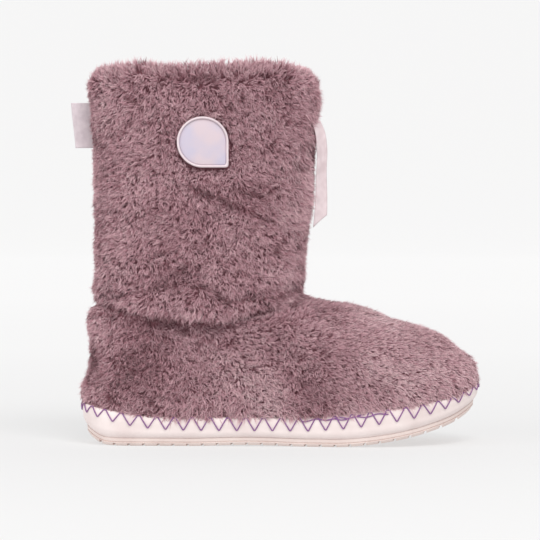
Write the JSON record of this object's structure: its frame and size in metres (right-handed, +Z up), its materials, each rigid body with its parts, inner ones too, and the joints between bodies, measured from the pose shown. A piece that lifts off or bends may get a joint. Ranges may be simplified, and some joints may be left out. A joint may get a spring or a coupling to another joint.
{
  "type": "bootie slipper",
  "caption": "Faux-fur ankle-high bootie slipper for the right foot, with an open shaft, fleece insole and a flexible pale sole with a ribbed tread.",
  "frame": {"origin": "on the floor under the middle of the heel, 40 mm ahead of the sole's back end", "axes": "+X to the toe, +Z up, +Y to the inner side of the foot"},
  "size_m": [0.2723, 0.1079, 0.2525],
  "materials": {
    "outsole": "beige pink moulded rubber, matt",
    "midsole": "pale pink moulded rubber, satin",
    "fur": "dusty mauve faux fur, about 9 mm pile",
    "fleece": "short fleece",
    "badge_satin": "lilac satin",
    "badge_rim": "white pink soft rubber",
    "label_tape": "woven tape",
    "ribbon_satin": "satin ribbon"
  },
  "bodies": {
    "root": {"outsole": "outsole", "midsole": "midsole", "upper": "fur", "insole": "fleece", "badge": "badge_satin", "badge_rim": "badge_rim", "back_label": "label_tape", "ribbon": "ribbon_satin"}
  },
  "joints": []
}
